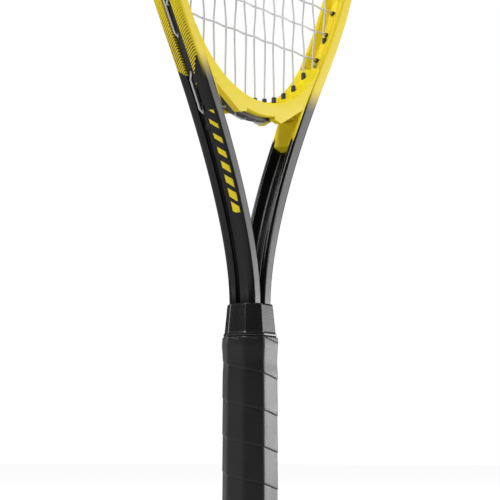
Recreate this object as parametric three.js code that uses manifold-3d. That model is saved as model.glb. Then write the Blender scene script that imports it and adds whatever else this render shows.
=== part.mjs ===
// A tennis racket with an extruded aluminium tube frame, a moulded throat yoke and a
// wrapped eight-sided handle. Millimetres. +Z runs from the butt to the tip of the
// head, X is across the strings and -Y is the front. The origin is the middle of the
// flat butt end.
import * as THREE from 'three';
import { mergeVertices } from 'three/addons/utils/BufferGeometryUtils.js';
import Module from 'manifold-3d';

const wasm = await Module();
wasm.setup();

// ---------------------------------------------------------------- driving dimensions
const racketLength = 698.5;
const gap = 0.3;

// Tube: beam is its front-to-back size, depth its size across the rim.
const beam = 19.8;
const tubeDepth = 11.5;
const tubeWall = 0.9;
const edgeBevel = 2.1;
const channelWidth = 6;
const channelDepth = 2.6;
const valleyMouth = 12.4;
const valleyFloor = 4.6;
const valleyFloorOffset = 1;

// Centre line of the tube, right half.
const headWidth = 281.5;
const widestHeight = 528;
const kneeX = 73;
const kneeHeight = 361;
const kneeLean = 33.5 * Math.PI / 180;
const forkHeight = 205;
const shaftEndHeight = 14;
const shaftClearance = 0.6;

// Throat yoke.
const throatHeight = 339.5;
const throatRadius = 95;
const bridgeDepth = 10.7;
const undersideRadius = 105;
const yokeThickness = 17.6;
const yokeTopHeight = 376;
const armEndHeight = 315.6;
const armTipHeight = 311.5;
const wingInnerX = 17;
const wingTipX = 25.5;
const wingTipHeight = 328.3;
const wingOuterX = 53.5;
const wingPlate = 4.6;
const rivetHeight = 316.5;
const rivetRadius = 1.5;

// Strings and grommets.
const stringDiameter = 1.3;
const stringClearance = 0.42;
const mainCount = 16;
const mainSideMargin = 37;
const mainSpread = 0.097;
const crossCount = 18;
const crossLowest = 385;
const crossTopMargin = 39.4;
const crossSpread = 0.119;
const boreDiameter = 2.4;
const barrelDiameter = 3.5;
const barrelSides = 5;
const barrelProud = 2;
const yokeBarrelProud = 3.8;
const barrelRoot = 0.05;
const stripThickness = 0.6;
const throatStripProud = 0.9;
const throatStripThickness = 1.2;
const throatStripWidth = 7.6;
const stripBottomHeight = 321;
const guardReach = 116.85;
const guardRidge = 1.6;
const guardWall = 0.55;
const ferruleHeight = 2;
const ferruleRadius = 1.6;

// Handle.
const gripWidth = 35;
const gripThickness = 32.4;
const sideFacet = 13.5;
const frontFacet = 17.5;
const wrapThickness = 2.6;
const palletTop = 196;
const collarBottom = 183;
const collarTop = 204.5;
const collarInset = 0.9;
const collarTopInset = 3.1;
const tapeTop = 192;
const tapeThickness = 0.4;
const capHeight = 25;
const capFloor = 6;
const capRimHeight = 9;
const capRimWidth = 40;
const capSleeve = 1;
const stapleCrown = 10;
const stapleWire = 0.7;
const stapleLeg = 4;
const stapleHeight = 17;

// ---------------------------------------------------------------- solids and meshes
function toSolid(geometry) {
  geometry.deleteAttribute('normal');
  geometry.deleteAttribute('uv');
  const merged = mergeVertices(geometry, 1e-4);
  const corners = [];
  const index = merged.index.array;
  for (let i = 0; i < index.length; i += 3) {
    const [a, b, c] = [index[i], index[i + 1], index[i + 2]];
    if (a !== b && b !== c && c !== a) corners.push(a, b, c);
  }
  const vertProperties = Float32Array.from(merged.attributes.position.array);
  const build = (triVerts) => new wasm.Manifold(new wasm.Mesh({ numProp: 3, vertProperties, triVerts }));
  const solid = build(Uint32Array.from(corners));
  if (solid.volume() > 0) return solid;
  return build(Uint32Array.from(corners).reverse());
}

function toMesh(name, solid, material) {
  const { vertProperties, triVerts } = solid.getMesh();
  const geometry = new THREE.BufferGeometry();
  geometry.setAttribute('position', new THREE.BufferAttribute(Float32Array.from(vertProperties), 3));
  geometry.setIndex(new THREE.BufferAttribute(Uint32Array.from(triVerts), 1));
  geometry.computeVertexNormals();
  const mesh = new THREE.Mesh(geometry, material);
  mesh.name = name;
  return mesh;
}

function material(color, roughness, metalness) {
  return new THREE.MeshStandardMaterial({ color, roughness, metalness });
}

function shapeOf(points) {
  return new THREE.Shape(points.map(([x, y]) => new THREE.Vector2(x, y)));
}

// An outline in the X-Z plane, given its thickness along Y and centred on y.
function plate(shape, thickness, y = 0, curveSegments = 24) {
  const geometry = new THREE.ExtrudeGeometry(shape, { depth: thickness, bevelEnabled: false, curveSegments });
  geometry.rotateX(Math.PI / 2);
  geometry.translate(0, y + thickness / 2, 0);
  return toSolid(geometry);
}

// ---------------------------------------------------------------- centre line of the rim
const halfDepth = tubeDepth / 2;
const halfBeam = beam / 2;
const shaftX = halfDepth + shaftClearance / 2;
const rimHalf = headWidth / 2 - halfDepth;
const guardProud = guardRidge + gap;
const rimTop = racketLength - halfDepth - guardProud;
const guardEndHeight = rimTop - guardReach;
const inPlane = (x, z) => new THREE.Vector3(x, 0, z);
const alongLean = (distance) => inPlane(
  kneeX + distance * Math.sin(kneeLean),
  kneeHeight + distance * Math.cos(kneeLean),
);
const roundness = 0.56;

// Stretches of the right half, from the tip of the head down to the end in the handle.
const stretches = [
  new THREE.CubicBezierCurve3(
    inPlane(0, rimTop),
    inPlane(rimHalf * roundness, rimTop),
    inPlane(rimHalf, widestHeight + (rimTop - widestHeight) * roundness),
    inPlane(rimHalf, widestHeight),
  ),
  new THREE.CubicBezierCurve3(
    inPlane(rimHalf, widestHeight),
    inPlane(rimHalf, widestHeight - 78),
    alongLean(55),
    inPlane(kneeX, kneeHeight),
  ),
  new THREE.CubicBezierCurve3(
    inPlane(kneeX, kneeHeight),
    alongLean(-60),
    inPlane(shaftX, forkHeight + 42),
    inPlane(shaftX, forkHeight),
  ),
  new THREE.LineCurve3(inPlane(shaftX, forkHeight), inPlane(shaftX, shaftEndHeight)),
];

// A station is 0 at the tip of the head and 4 at the end of a shaft, one unit to each
// stretch; the left half has the same stations with a minus sign.
function stretchAt(station) {
  const distance = Math.abs(station);
  const number = Math.min(Math.floor(distance), stretches.length - 1);
  return [stretches[number], distance - number];
}

function rimPoint(station) {
  const [curve, t] = stretchAt(station);
  const point = curve.getPoint(t);
  if (station < 0) point.x = -point.x;
  return point;
}

function rimTangent(station) {
  const [curve, t] = stretchAt(station);
  const tangent = curve.getTangent(t);
  if (station < 0) tangent.z = -tangent.z;
  return tangent;
}

// The point a distance outside the centre line, and y behind the mid plane.
function besideRim(station, outward, y = 0) {
  const tangent = rimTangent(station);
  const point = rimPoint(station);
  point.x -= tangent.z * outward;
  point.z += tangent.x * outward;
  point.y = y;
  return point;
}

// The station between two others, on the right half, where the line that runs outward
// of the centre line reaches the given x or z.
function stationWhere(axis, value, outward, from, to) {
  const rising = besideRim(to, outward)[axis] > besideRim(from, outward)[axis];
  let [low, high] = rising ? [from, to] : [to, from];
  for (let i = 0; i < 40; i += 1) {
    const middle = (low + high) / 2;
    if (besideRim(middle, outward)[axis] < value) low = middle;
    else high = middle;
  }
  return (low + high) / 2;
}

class RimRun extends THREE.Curve {
  constructor(stations) {
    super();
    this.stations = stations;
  }

  getUtoTmapping(u) {
    return u;
  }

  stationAt(t) {
    const place = t * (this.stations.length - 1);
    const number = Math.min(Math.floor(place), this.stations.length - 2);
    return THREE.MathUtils.lerp(this.stations[number], this.stations[number + 1], place - number);
  }

  getPoint(t) {
    return rimPoint(this.stationAt(t));
  }

  getTangent(t) {
    return rimTangent(this.stationAt(t));
  }
}

function between(from, to, steps) {
  return Array.from({ length: steps + 1 }, (_, i) => THREE.MathUtils.lerp(from, to, i / steps));
}

// A section swept along the rim: its x is towards the front and its y towards the
// strings.
function sweepAlongRim(shape, stations) {
  const extrudePath = new RimRun(stations);
  return toSolid(new THREE.ExtrudeGeometry(shape, { steps: stations.length - 1, extrudePath }));
}

function mirrored(half) {
  return [...half, ...half.map(([x, y]) => [-x, y]).reverse()];
}

// ---------------------------------------------------------------- frame tube
// The section has a channel on its outer side for the grommet strip and a deep valley
// on its inner side, so that the strings cross only a narrow web.
function tubeOutline(grow) {
  return mirrored([
    [channelWidth / 2 - grow, channelDepth - halfDepth - grow],
    [channelWidth / 2 - grow, -halfDepth - grow],
    [halfBeam - edgeBevel, -halfDepth - grow],
    [halfBeam + grow, edgeBevel - halfDepth],
    [halfBeam + grow, halfDepth - edgeBevel],
    [halfBeam - edgeBevel, halfDepth + grow],
    [valleyMouth / 2 - grow, halfDepth + grow],
    [valleyFloor / 2 - grow, valleyFloorOffset + grow],
  ]);
}

function tubeHollow() {
  const inner = halfBeam - tubeWall;
  const reach = halfDepth - tubeWall;
  return mirrored([
    [channelWidth / 2, channelDepth - reach],
    [channelWidth / 2 + 1.4, -reach],
    [inner - edgeBevel * 0.8, -reach],
    [inner, edgeBevel * 0.8 - reach],
    [inner, reach - edgeBevel * 0.8],
    [inner - edgeBevel * 0.6, reach],
    [valleyFloor / 2 + 0.2, valleyFloorOffset - tubeWall],
  ]);
}

const bendStations = [
  -4,
  ...between(-3, -2, 8),
  ...between(-2, -1, 8).slice(1),
  ...between(-1, 1, 22).slice(1),
  ...between(1, 2, 8).slice(1),
  ...between(2, 3, 8).slice(1),
  4,
];

// What lies along the tube bends at the same stations as the tube does.
function nearestBend(station) {
  return bendStations.reduce((best, bend) => (Math.abs(bend - station) < Math.abs(best - station) ? bend : best));
}

function bendsFrom(from, to) {
  return [from, ...bendStations.filter((bend) => bend > from + 0.02 && bend < to - 0.02), to];
}

// ---------------------------------------------------------------- string plan
const stringRadius = stringDiameter / 2;
const floorOut = halfDepth - channelDepth;
const stripInner = floorOut + 0.25;
const stripOuter = stripInner + stripThickness;
const stringOut = stripOuter + stringClearance + stringRadius;
const lane = 2 * stringRadius + 0.1;
const weave = 2 * stringRadius + gap;
const undersideZ = throatHeight - bridgeDepth;

const outerMainX = rimHalf - mainSideMargin;
function mainX(number) {
  const share = (number - 0.5) / (mainCount / 2 - 0.5);
  return outerMainX * ((1 - mainSpread) * share + mainSpread * share ** 3);
}

const crossHighest = rimTop - crossTopMargin;
function crossZ(number) {
  const share = 2 * number / (crossCount - 1) - 1;
  const half = (crossHighest - crossLowest) / 2;
  return crossLowest + half + half * ((1 - crossSpread) * share + crossSpread * share ** 5);
}

const arcHeight = (x, radius, lowest) => lowest + radius - Math.sqrt(radius ** 2 - x ** 2);
const throatSurface = (x) => arcHeight(x, throatRadius, throatHeight);
const undersideOut = (x, outward) => arcHeight(x, undersideRadius + outward - halfDepth, undersideZ + halfDepth - outward);

// One end of a string run where it crosses the tube's web: along is the coordinate that
// runs with the string.
function endAtTube(axis, value, from, to) {
  const along = axis === 'x' ? 'z' : 'x';
  const at = (outward) => besideRim(stationWhere(axis, value, outward, from, to), outward)[along];
  const floor = at(-valleyFloorOffset);
  const inward = Math.sign(floor - at(stringOut));
  return {
    station: stationWhere(axis, value, stringOut, from, to),
    exit: at(stringOut),
    strip: at(stripInner + barrelRoot),
    mouth: floor + inward * barrelProud,
    inward,
  };
}

const yokeStripOuter = halfDepth + throatStripProud;
const yokeStringOut = yokeStripOuter + stringClearance + stringRadius;
function endAtYoke(x) {
  return {
    exit: undersideOut(x, yokeStringOut),
    strip: undersideOut(x, yokeStripOuter - throatStripThickness / 2),
    mouth: throatSurface(x) + yokeBarrelProud,
    inward: 1,
  };
}

const mains = [];
for (let number = 1; number <= mainCount / 2; number += 1) {
  const x = mainX(number);
  const meetsTube = number > 4;
  const bottom = meetsTube ? endAtTube('x', x, 1.2, 3) : endAtYoke(x);
  const throughYoke = throatSurface(x) < yokeTopHeight - 2;
  if (meetsTube && throughYoke) bottom.mouth = throatSurface(x) + yokeBarrelProud;
  mains.push({ number, x, bottom, top: endAtTube('x', x, 0, 1), meetsTube, throughYoke });
}
const ferruleMain = mains.find((main) => main.meetsTube && !main.throughYoke);
ferruleMain.bottom.mouth -= barrelProud;

const crosses = [];
for (let number = 0; number < crossCount; number += 1) {
  const z = crossZ(number);
  crosses.push({ number, z, end: endAtTube('z', z, 0, 3) });
}

// A prism along a string run, mirrored to the left where side is -1.
function stringPrism(axis, value, from, to, radius, sides, side) {
  const length = Math.abs(to - from);
  const geometry = new THREE.CylinderGeometry(radius, radius, length, sides, 1, false, Math.PI / sides);
  const middle = (from + to) / 2;
  if (axis === 'x') {
    geometry.rotateX(Math.PI / 2);
    geometry.translate(side * value, 0, middle);
  } else {
    geometry.rotateZ(Math.PI / 2);
    geometry.translate(side * middle, 0, value);
  }
  return toSolid(geometry);
}

// Square holes, a gap wider than the barrels that pass through them.
const holeRadius = (barrelDiameter / 2 + gap) * Math.SQRT2;
function holeFor(axis, value, end, side) {
  const start = end.exit - end.inward * 4;
  return stringPrism(axis, value, start, end.mouth + end.inward * 5, holeRadius, 4, side);
}

function joinAll(solids) {
  return solids.reduce((whole, solid) => whole.add(solid));
}

function cutAll(solid, tools) {
  return tools.reduce((left, tool) => left.subtract(tool), solid);
}

// ---------------------------------------------------------------- building the frame
const sides = [-1, 1];
const tubeHoles = [];
for (const side of sides) {
  for (const main of mains) {
    tubeHoles.push(holeFor('x', main.x, main.top, side));
    if (main.meetsTube) tubeHoles.push(holeFor('x', main.x, main.bottom, side));
  }
  for (const cross of crosses) tubeHoles.push(holeFor('z', cross.z, cross.end, side));
}

const tubeShape = shapeOf(tubeOutline(0));
tubeShape.holes.push(shapeOf(tubeHollow()));
const rivetStation = stationWhere('z', rivetHeight, 0, 2, 3);

// A round bar across the tube at the rivet's station.
function rivetBar(radius, outer, inner, side) {
  const geometry = new THREE.CylinderGeometry(radius, radius, outer - inner, 8);
  geometry.translate(0, (outer + inner) / 2, 0);
  const tangent = rimTangent(side * rivetStation);
  const outwardAxis = inPlane(-tangent.z, tangent.x);
  geometry.applyQuaternion(new THREE.Quaternion().setFromUnitVectors(new THREE.Vector3(0, 1, 0), outwardAxis));
  const place = rimPoint(side * rivetStation);
  geometry.translate(place.x, place.y, place.z);
  return toSolid(geometry);
}

const rivetInner = -(valleyFloorOffset + 3.2);
const rivetHoles = sides.map((side) => rivetBar(rivetRadius + gap, halfDepth + 1, rivetInner - gap, side));
let frameTube = sweepAlongRim(tubeShape, bendStations);
frameTube = cutAll(frameTube, [...tubeHoles, ...rivetHoles]);

function rivet(side) {
  const shank = rivetBar(rivetRadius, floorOut + 0.5, rivetInner, side);
  const head = rivetBar(rivetRadius + 0.9, floorOut + 1.2, floorOut + gap, side);
  return shank.add(head);
}

// ---------------------------------------------------------------- throat yoke
const valleyLine = (height) => besideRim(stationWhere('z', height, -0.4, 1, 3), -0.4);
const armInnerX = (height) => besideRim(stationWhere('z', height, -halfDepth, 2, 3), -halfDepth).x + 0.4;

function yokeBody() {
  const throatReach = Math.sqrt(throatRadius ** 2 - (throatRadius + throatHeight - yokeTopHeight) ** 2);
  const undersideReach = Math.asin(wingOuterX / undersideRadius);
  const shape = new THREE.Shape();
  const down = -Math.PI / 2;
  shape.absarc(0, undersideZ + undersideRadius, undersideRadius, down - undersideReach, down + undersideReach, false);
  shape.lineTo(armInnerX(armEndHeight), armEndHeight);
  for (const height of between(armTipHeight, yokeTopHeight, 8)) shape.lineTo(valleyLine(height).x, height);
  const openAngle = Math.asin(throatReach / throatRadius);
  shape.absarc(0, throatHeight + throatRadius, throatRadius, down + openAngle, down - openAngle, true);
  for (const height of between(yokeTopHeight, armTipHeight, 8)) shape.lineTo(-valleyLine(height).x, height);
  shape.lineTo(-armInnerX(armEndHeight), armEndHeight);
  return plate(shape, yokeThickness);
}

function yokeWing(side, y) {
  const wingOuterZ = arcHeight(wingOuterX, undersideRadius, undersideZ);
  const innerZ = arcHeight(wingInnerX, undersideRadius, undersideZ);
  const shape = shapeOf([
    [side * wingInnerX, innerZ + 4],
    [side * wingInnerX, innerZ - 0.4],
    [side * wingTipX, wingTipHeight],
    [side * wingOuterX, wingOuterZ - 1],
    [side * wingOuterX, wingOuterZ + 4],
  ]);
  return plate(shape, wingPlate, y);
}

// A band that follows the bridge's underside, between two distances outside the middle
// of a channel of the tube's own size.
function undersideBand(outer, inner, halfWidth, reach) {
  const centre = undersideZ + undersideRadius;
  const angle = Math.asin(reach / undersideRadius);
  const down = -Math.PI / 2;
  const shape = new THREE.Shape();
  shape.absarc(0, centre, undersideRadius - halfDepth + outer, down - angle, down + angle, false);
  shape.absarc(0, centre, undersideRadius - halfDepth + inner, down + angle, down - angle, true);
  return plate(shape, 2 * halfWidth, 0, 8);
}

const yokeStripReach = (mains[3].x + mains[4].x) / 2 - 0.4;
let yoke = yokeBody();
for (const side of sides) {
  for (const front of sides) yoke = yoke.add(yokeWing(side, front * (yokeThickness - wingPlate) / 2));
}
const yokeStripInner = yokeStripOuter - throatStripThickness;
const yokeStripHalf = throatStripWidth / 2;
yoke = yoke.subtract(undersideBand(halfDepth + 6, yokeStripInner - gap, yokeStripHalf + gap, yokeStripReach + 0.6));
yoke = yoke.subtract(sweepAlongRim(shapeOf(tubeOutline(gap)), bendStations));
for (const side of sides) {
  for (const main of mains.filter((each) => !each.meetsTube || each.throughYoke)) {
    const start = Math.min(main.bottom.exit, undersideZ) - 4;
    yoke = yoke.subtract(stringPrism('x', main.x, start, main.bottom.mouth + 3, holeRadius, 4, side));
  }
}
const ferruleStart = ferruleMain.bottom.exit - 4;
for (const side of sides) {
  yoke = yoke.subtract(stringPrism('x', ferruleMain.x, ferruleStart, yokeTopHeight + 5, holeRadius, 4, side));
}
yoke = cutAll(yoke, rivetHoles);

// ---------------------------------------------------------------- grommets
// A strip or guard gets its barrels first and then every bore through it.
function withBarrels(strip, runs) {
  const barrels = runs.map(({ axis, value, end, side }) => (
    stringPrism(axis, value, end.strip, end.mouth, barrelDiameter / 2, barrelSides, side)
  ));
  const bores = runs.map(({ axis, value, end, side }) => (
    stringPrism(axis, value, end.exit - end.inward * 6, end.mouth + end.inward, boreDiameter / 2, barrelSides, side)
  ));
  return cutAll(joinAll([strip, ...barrels]), bores);
}

const guardEnd = nearestBend(stationWhere('z', guardEndHeight, floorOut, 0, 1));
const stripEnd = nearestBend(stationWhere('z', stripBottomHeight, floorOut, 2, 3));
const stripHalf = channelWidth / 2 - gap;

const guardShape = shapeOf(mirrored([
  [stripHalf - guardWall, -stripOuter],
  [stripHalf - guardWall, -halfDepth - guardProud],
  [halfBeam - edgeBevel - 1, -halfDepth - guardProud],
  [halfBeam + 0.6, edgeBevel - halfDepth - 0.8],
  [halfBeam + 0.1, edgeBevel - halfDepth - 1],
  [halfBeam - edgeBevel - 0.3, -halfDepth - gap],
  [stripHalf, -halfDepth - gap],
  [stripHalf, -stripInner],
]));
const guardRuns = [];
for (const side of sides) {
  for (const main of mains) guardRuns.push({ axis: 'x', value: main.x, end: main.top, side });
  for (const cross of crosses) {
    if (cross.z > guardEndHeight) guardRuns.push({ axis: 'z', value: cross.z, end: cross.end, side });
  }
}
const bumperGuard = withBarrels(sweepAlongRim(guardShape, bendsFrom(-guardEnd, guardEnd)), guardRuns);

const stripShape = shapeOf(mirrored([
  [stripHalf, -stripInner],
  [stripHalf, -stripOuter],
]));
function sideStrip(side) {
  const runs = [];
  for (const main of mains) {
    if (main.meetsTube) runs.push({ axis: 'x', value: main.x, end: main.bottom, side });
  }
  for (const cross of crosses) {
    if (cross.z <= guardEndHeight) runs.push({ axis: 'z', value: cross.z, end: cross.end, side });
  }
  const stations = bendsFrom(guardEnd + 0.012, stripEnd);
  const ordered = side < 0 ? stations.map((station) => -station).reverse() : stations;
  const rivetRoom = rivetBar(rivetRadius + 0.9 + gap, floorOut + 3, floorOut - 1, side);
  return withBarrels(sweepAlongRim(stripShape, ordered), runs).subtract(rivetRoom);
}

const yokeRuns = [];
for (const side of sides) {
  for (const main of mains.slice(0, 4)) yokeRuns.push({ axis: 'x', value: main.x, end: main.bottom, side });
}
const throatBand = undersideBand(yokeStripOuter, yokeStripInner, yokeStripHalf, yokeStripReach);
const throatStrip = withBarrels(throatBand, yokeRuns);

// The clear ferrule stands over the one main that comes out where the yoke ends, just
// clear of the sloping web.
const webTangent = rimTangent(ferruleMain.bottom.station);
const webSlope = Math.abs(webTangent.z / webTangent.x);
const ferruleBottom = ferruleMain.bottom.mouth + ferruleRadius * webSlope + gap;
function ferrule(side) {
  const bore = boreDiameter / 2;
  const profile = [
    [bore, 0], [ferruleRadius, 0], [ferruleRadius - 0.1, ferruleHeight], [bore, ferruleHeight], [bore, 0],
  ].map(([x, y]) => new THREE.Vector2(x, y));
  const geometry = new THREE.LatheGeometry(profile, 8);
  geometry.rotateX(Math.PI / 2);
  geometry.translate(side * ferruleMain.x, 0, ferruleBottom);
  return toSolid(geometry);
}

// ---------------------------------------------------------------- strings
class Polyline extends THREE.Curve {
  constructor(points) {
    super();
    this.points = points;
  }

  getUtoTmapping(u) {
    return u;
  }

  getPoint(t) {
    return this.points[Math.round(t * (this.points.length - 1))].clone();
  }

  getTangent(t) {
    const last = this.points.length - 1;
    const number = Math.round(t * last);
    const here = this.points[number];
    const arriving = here.clone().sub(this.points[Math.max(number - 1, 0)]).normalize();
    const leaving = this.points[Math.min(number + 1, last)].clone().sub(here).normalize();
    return arriving.add(leaving).normalize();
  }
}

function cordSolid(points, faces) {
  const section = Array.from({ length: faces }, (_, i) => [
    stringRadius * Math.cos((i + 0.5) * 2 * Math.PI / faces),
    stringRadius * Math.sin((i + 0.5) * 2 * Math.PI / faces),
  ]);
  const extrudePath = new Polyline(points);
  return toSolid(new THREE.ExtrudeGeometry(shapeOf(section), { steps: points.length - 1, extrudePath }));
}

// The string's way along the channel from one hole to the next, in its own lane beside
// the middle, so that mains and crosses pass each other.
const channelTurn = 0.2;
function alongChannel(from, to, y) {
  const distance = rimPoint(from).distanceTo(rimPoint(to));
  const lead = Math.min(3 / distance, 0.3);
  const turn = rimTangent(from).angleTo(rimTangent(to));
  const steps = Math.max(1, Math.round(distance / 7), Math.ceil(turn / channelTurn));
  return between(lead, 1 - lead, steps).map((share) => besideRim(THREE.MathUtils.lerp(from, to, share), stringOut, y));
}

function alongUnderside(fromX, toX, y) {
  return [0.25, 0.75].map((share) => {
    const x = THREE.MathUtils.lerp(fromX, toX, share);
    return new THREE.Vector3(x, y, undersideOut(x, yokeStringOut));
  });
}

// The mains are one cord: down one main and up the next, from the left edge to the
// right, over and under every cross.
function mainRoute() {
  const runs = [...mains].reverse().map((main) => ({ main, side: -1 }));
  runs.push(...mains.map((main) => ({ main, side: 1 })));
  const route = [];
  runs.forEach(({ main, side }, order) => {
    const x = side * main.x;
    const straightTo = main === ferruleMain ? ferruleBottom + ferruleHeight : main.bottom.mouth;
    const climb = [new THREE.Vector3(x, 0, main.bottom.exit), new THREE.Vector3(x, 0, straightTo + 0.4)];
    for (const cross of crosses) {
      const over = (order + cross.number) % 2 === 0 ? 1 : -1;
      const within = cross.z > main.bottom.mouth && cross.z < main.top.mouth;
      if (within) climb.push(new THREE.Vector3(x, over * weave, cross.z));
    }
    climb.push(new THREE.Vector3(x, 0, main.top.mouth - 0.5), new THREE.Vector3(x, 0, main.top.exit));
    const goesDown = order % 2 === 0;
    route.push(...(goesDown ? climb.reverse() : climb));
    const next = runs[order + 1];
    if (!next) return;
    if (!goesDown) route.push(...alongChannel(side * main.top.station, next.side * next.main.top.station, lane));
    else if (main.meetsTube) {
      route.push(...alongChannel(side * main.bottom.station, next.side * next.main.bottom.station, lane));
    } else route.push(...alongUnderside(x, next.side * next.main.x, lane));
  });
  return route;
}

// The crosses are a second cord, from the throat to the tip, straight between the
// mains that weave round them.
function crossRoute() {
  const route = [];
  crosses.forEach((cross, order) => {
    const start = order % 2 === 0 ? 1 : -1;
    route.push(
      new THREE.Vector3(start * cross.end.exit, 0, cross.z),
      new THREE.Vector3(start * cross.end.mouth, 0, cross.z),
      new THREE.Vector3(-start * cross.end.mouth, 0, cross.z),
      new THREE.Vector3(-start * cross.end.exit, 0, cross.z),
    );
    const next = crosses[order + 1];
    if (next) route.push(...alongChannel(-start * cross.end.station, -start * next.end.station, -lane));
  });
  return route;
}

// ---------------------------------------------------------------- handle
// A turned profile with eight flats instead of a round: its radius is the distance to
// the side facets, and the front and back facets lie closer in.
const flatRatio = gripThickness / gripWidth;
function octagonTurning(profile) {
  const points = [...profile, profile[0]].map(([radius, z]) => new THREE.Vector2(radius, z));
  const geometry = new THREE.LatheGeometry(points, 8, Math.PI / 8);
  geometry.rotateX(Math.PI / 2);
  const position = geometry.attributes.position;
  for (let i = 0; i < position.count; i += 1) {
    const [x, y] = [position.getX(i), position.getY(i)];
    const radius = Math.hypot(x, y);
    const share = radius / (gripWidth / 2);
    const onSide = Math.abs(x) > Math.abs(y);
    const newX = onSide ? radius : share * frontFacet / 2;
    const newY = onSide ? share * sideFacet / 2 : radius * flatRatio;
    position.setX(i, Math.sign(x) * newX);
    position.setY(i, Math.sign(y) * newY);
  }
  return toSolid(geometry);
}

function box(width, thickness, height, x, y, z) {
  const geometry = new THREE.BoxGeometry(width, thickness, height);
  geometry.translate(x, y, z);
  return toSolid(geometry);
}

const palletHalf = gripWidth / 2 - wrapThickness - gap;
const palletBottom = capFloor + gap;
const sleeveInner = palletHalf + gap;
const sleeveOuter = sleeveInner + capSleeve;

function palletHalfShell(front) {
  const whole = octagonTurning([
    [0, palletBottom], [palletHalf, palletBottom], [palletHalf, palletTop], [0, palletTop],
  ]);
  const pocketWidth = 2 * (shaftX + halfDepth + gap);
  const pocket = box(pocketWidth, beam + 2 * gap, palletTop, 0, 0, shaftEndHeight - gap + palletTop / 2);
  const otherHalf = box(60, 60, 2 * palletTop, 0, -front * (30 - gap / 2), palletTop);
  return whole.subtract(pocket).subtract(otherHalf);
}

function staple(front, grow) {
  const outer = sleeveOuter * flatRatio;
  const wire = stapleWire + 2 * grow;
  const parts = [box(stapleCrown + wire, wire, wire, 0, front * (outer + 0.1 + stapleWire / 2), stapleHeight)];
  for (const side of sides) {
    const y = front * (outer + 0.1 + stapleWire - stapleLeg / 2);
    parts.push(box(wire, stapleLeg + grow, wire, side * stapleCrown / 2, y - front * grow / 2, stapleHeight));
  }
  return joinAll(parts);
}
const stapleRooms = sides.map((front) => staple(front, 0.25));

const buttCap = cutAll(octagonTurning([
  [0, 0], [capRimWidth / 2 - 1, 0], [capRimWidth / 2, 1.5], [capRimWidth / 2, capRimHeight - 3],
  [gripWidth / 2 + 0.6, capRimHeight], [sleeveOuter, capRimHeight], [sleeveOuter, capHeight],
  [sleeveInner, capHeight], [sleeveInner, capFloor], [0, capFloor],
]), stapleRooms);

const wrapBottom = capRimHeight + gap;
const stapleReach = sleeveOuter + (stapleWire + gap) / flatRatio;
const gripWrap = octagonTurning([
  [stapleReach, wrapBottom], [gripWidth / 2 + 1, wrapBottom],
  [gripWidth / 2, capHeight + 6], [gripWidth / 2, collarBottom - gap],
  [sleeveInner, collarBottom - gap], [sleeveInner, capHeight + 3],
  [stapleReach, capHeight + 1],
]);

const tapeInner = palletHalf + gap;
const tapeOuter = tapeInner + tapeThickness;
const finishingTape = octagonTurning([
  [tapeInner, collarBottom], [tapeOuter, collarBottom], [tapeOuter, tapeTop], [tapeInner, tapeTop],
]);

const collarHalf = gripWidth / 2 - collarInset;
const collarTopHalf = gripWidth / 2 - collarTopInset;
function collar() {
  const bore = tapeOuter + gap;
  const outside = octagonTurning([
    [0, collarBottom], [collarHalf, collarBottom], [collarHalf, collarBottom + 4],
    [collarTopHalf, collarTop - 0.8], [collarTopHalf - 0.8, collarTop], [0, collarTop],
  ]);
  const socket = octagonTurning([
    [0, collarBottom - 1], [bore, collarBottom - 1], [bore, tapeTop + gap],
    [palletHalf + gap, tapeTop + gap + 1], [palletHalf + gap, palletTop + gap], [0, palletTop + gap],
  ]);
  const shaftRoom = box(2 * (shaftX + halfDepth + gap), beam + 2 * gap, collarTop, 0, 0, collarTop);
  return outside.subtract(socket).subtract(shaftRoom);
}

// ---------------------------------------------------------------- assembly
const yellowPaint = material(0xf2d71f, 0.3, 0.1);
const yellowPlastic = material(0xf5dc28, 0.4, 0);
const blackPlastic = material(0x131313, 0.5, 0);
const clearPlastic = material(0xe8e8e4, 0.25, 0);
const blackRubber = material(0x26262a, 0.7, 0);
const greyWrap = material(0x35353a, 0.85, 0);
const palletFoam = material(0x8d7f66, 0.9, 0);
const steel = material(0xb9bcc0, 0.35, 1);
const stringPolymer = material(0xd6d6d4, 0.4, 0);
const blackTape = material(0x1b1b1b, 0.6, 0);

const racket = new THREE.Group();
racket.add(
  toMesh('frame_tube', frameTube, yellowPaint),
  toMesh('throat_yoke', yoke, yellowPlastic),
  toMesh('yoke_rivet_left', rivet(-1), steel),
  toMesh('yoke_rivet_right', rivet(1), steel),
  toMesh('bumper_guard', bumperGuard, blackPlastic),
  toMesh('grommet_strip_left', sideStrip(-1), blackPlastic),
  toMesh('grommet_strip_right', sideStrip(1), blackPlastic),
  toMesh('throat_grommet_strip', throatStrip, blackPlastic),
  toMesh('string_ferrule_left', ferrule(-1), clearPlastic),
  toMesh('string_ferrule_right', ferrule(1), clearPlastic),
  toMesh('main_string', cordSolid(mainRoute(), 4), stringPolymer),
  toMesh('cross_string', cordSolid(crossRoute(), 4), stringPolymer),
  toMesh('pallet_front', cutAll(palletHalfShell(-1), stapleRooms), palletFoam),
  toMesh('pallet_back', cutAll(palletHalfShell(1), stapleRooms), palletFoam),
  toMesh('butt_cap', buttCap, blackPlastic),
  toMesh('butt_staple_front', staple(-1, 0), steel),
  toMesh('butt_staple_back', staple(1, 0), steel),
  toMesh('grip_wrap', gripWrap, greyWrap),
  toMesh('finishing_tape', finishingTape, blackTape),
  toMesh('grip_collar', collar(), blackRubber),
);

export default racket;
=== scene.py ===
import math

import bmesh
import bpy
from mathutils import Matrix, Vector


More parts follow.
